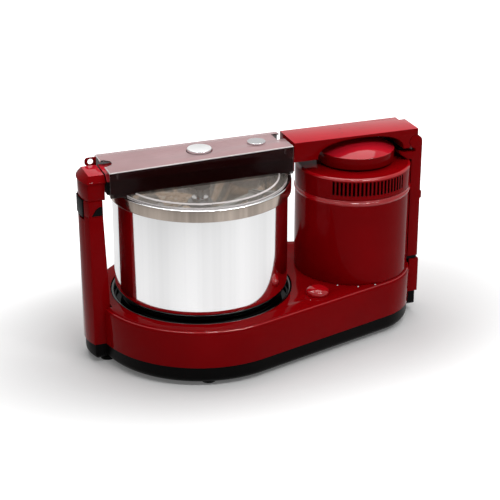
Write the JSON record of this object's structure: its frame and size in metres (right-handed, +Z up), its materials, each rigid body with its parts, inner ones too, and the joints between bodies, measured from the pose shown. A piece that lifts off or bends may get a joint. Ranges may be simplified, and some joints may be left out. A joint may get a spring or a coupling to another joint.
{
  "type": "wet grinder",
  "caption": "Table-top wet grinder: polished drum with conical roller stones on a teardrop base, a motor tower, a hinged arm with a pressure plunger over both, and a clear tunnel lid.",
  "frame": {"origin": "centre of the bounding box's bottom face, on the floor, in the machine's middle plane", "axes": "+X along the machine from the drum to the motor tower, +Y to the rear, +Z up"},
  "size_m": [0.464, 0.2808, 0.2684],
  "materials": {
    "red_plastic": "glossy deep red",
    "black_plastic": "glossy black",
    "dark_plastic": "matt black",
    "white_plastic": "off-white",
    "smoked_plastic": "clear, lightly smoked",
    "foot_rubber": "black",
    "belt_rubber": "black",
    "polished_steel": "mirror-polished stainless steel",
    "steel": "plain steel",
    "cast_metal": "cast",
    "core_iron": "laminated core",
    "winding_wire": "varnished winding",
    "granite": "dressed grey",
    "roller_granite": "dressed beige"
  },
  "bodies": {
    "housing": {"base_cover": "red_plastic", "base_pan": "black_plastic", "rubber_foot_1": "foot_rubber", "rubber_foot_2": "foot_rubber", "rubber_foot_3": "foot_rubber", "rubber_foot_4": "foot_rubber", "well_dish": "black_plastic", "chassis_plate": "steel", "bearing_housing": "cast_metal", "lower_spindle_bearing": "steel", "upper_spindle_bearing": "steel", "drive_belt": "belt_rubber", "left_post": "red_plastic", "left_post_head": "red_plastic", "head_insert": "black_plastic", "right_post": "red_plastic", "right_post_seal": "dark_plastic", "right_post_block": "red_plastic", "tower_housing": "red_plastic", "vent_ring": "red_plastic", "cap_collar": "dark_plastic", "tower_cap": "red_plastic", "motor_stator": "core_iron", "motor_windings": "winding_wire", "motor_lower_shield": "cast_metal", "motor_upper_shield": "cast_metal", "lower_motor_bearing": "steel", "upper_motor_bearing": "steel", "hinge_pin": "steel", "stone_carrier": "steel", "roller_axle_1": "steel", "roller_axle_2": "steel", "roller_axle_3": "steel", "drum_scraper": "white_plastic", "rotary_switch": "dark_plastic", "cord_gland": "dark_plastic"},
    "drum_set": {"turntable": "black_plastic", "drive_spindle": "steel", "drive_pulley": "dark_plastic", "drum": "polished_steel", "drum_rim_band": "polished_steel", "granite_bed": "granite", "drum_centre_post": "steel"},
    "rotor": {"motor_rotor": "steel", "motor_fan": "dark_plastic", "motor_pulley": "cast_metal"},
    "roller_1": {"roller_stone_1": "roller_granite"},
    "roller_2": {"roller_stone_2": "roller_granite"},
    "roller_3": {"roller_stone_3": "roller_granite"},
    "arm": {"arm_beam": "red_plastic", "arm_end_block": "red_plastic", "plunger_barrel": "cast_metal", "plunger_spring": "steel"},
    "plunger": {"pressure_plunger": "steel"},
    "lid_set": {"lid": "smoked_plastic", "lid_disc": "polished_steel", "lid_finger_loop": "red_plastic"},
    "latch": {"latch_lever": "black_plastic"},
    "knob": {"control_knob": "red_plastic"}
  },
  "joints": [
    {"name": "drum_spin", "type": "hinge", "parent": "housing", "child": "drum_set", "pos_m": [-0.0715, 0, 0.073], "axis": [0, 0, 1], "continuous": true},
    {"name": "motor_spin", "type": "hinge", "parent": "housing", "child": "rotor", "pos_m": [0.1415, 0, 0.098], "axis": [0, 0, 1], "continuous": true},
    {"name": "roller_1_spin", "type": "hinge", "parent": "housing", "child": "roller_1", "pos_m": [-0.0715, 0, 0.0952], "axis": [0, 0.9397, 0.342], "continuous": true},
    {"name": "roller_2_spin", "type": "hinge", "parent": "housing", "child": "roller_2", "pos_m": [-0.0715, 0, 0.0952], "axis": [-0.8138, -0.4698, 0.342], "continuous": true},
    {"name": "roller_3_spin", "type": "hinge", "parent": "housing", "child": "roller_3", "pos_m": [-0.0715, 0, 0.0952], "axis": [0.8138, -0.4698, 0.342], "continuous": true},
    {"name": "arm_swing", "type": "hinge", "parent": "housing", "child": "arm", "pos_m": [0.2204, 0, 0.25], "axis": [0, 1, 0], "range_deg": [0, 95]},
    {"name": "plunger_press", "type": "slide", "parent": "arm", "child": "plunger", "axis": [0, 0, 1], "range_m": [0, 0.005], "stiffness_N_per_m": 1500, "springref_m": -0.002, "deforming": ["plunger_spring"]},
    {"name": "lid_lift", "type": "slide", "parent": "arm", "child": "lid_set", "axis": [0, 0, 1], "range_m": [0, 0.06]},
    {"name": "latch_release", "type": "hinge", "parent": "housing", "child": "latch", "pos_m": [-0.2245, 0, 0.2075], "axis": [0, -1, 0], "range_deg": [0, 25], "stiffness_Nm_per_rad": 0.3, "springref_deg": -5.73},
    {"name": "knob_turn", "type": "hinge", "parent": "housing", "child": "knob", "pos_m": [0.062, -0.078, 0.0781], "axis": [0, 0, 1], "range_deg": [0, 90]}
  ],
  "couplings": [
    {"joint": "motor_spin", "follows": "drum_spin", "ratio": 6.022},
    {"joint": "roller_1_spin", "follows": "drum_spin", "ratio": 2.924},
    {"joint": "roller_2_spin", "follows": "drum_spin", "ratio": 2.924},
    {"joint": "roller_3_spin", "follows": "drum_spin", "ratio": 2.924}
  ]
}
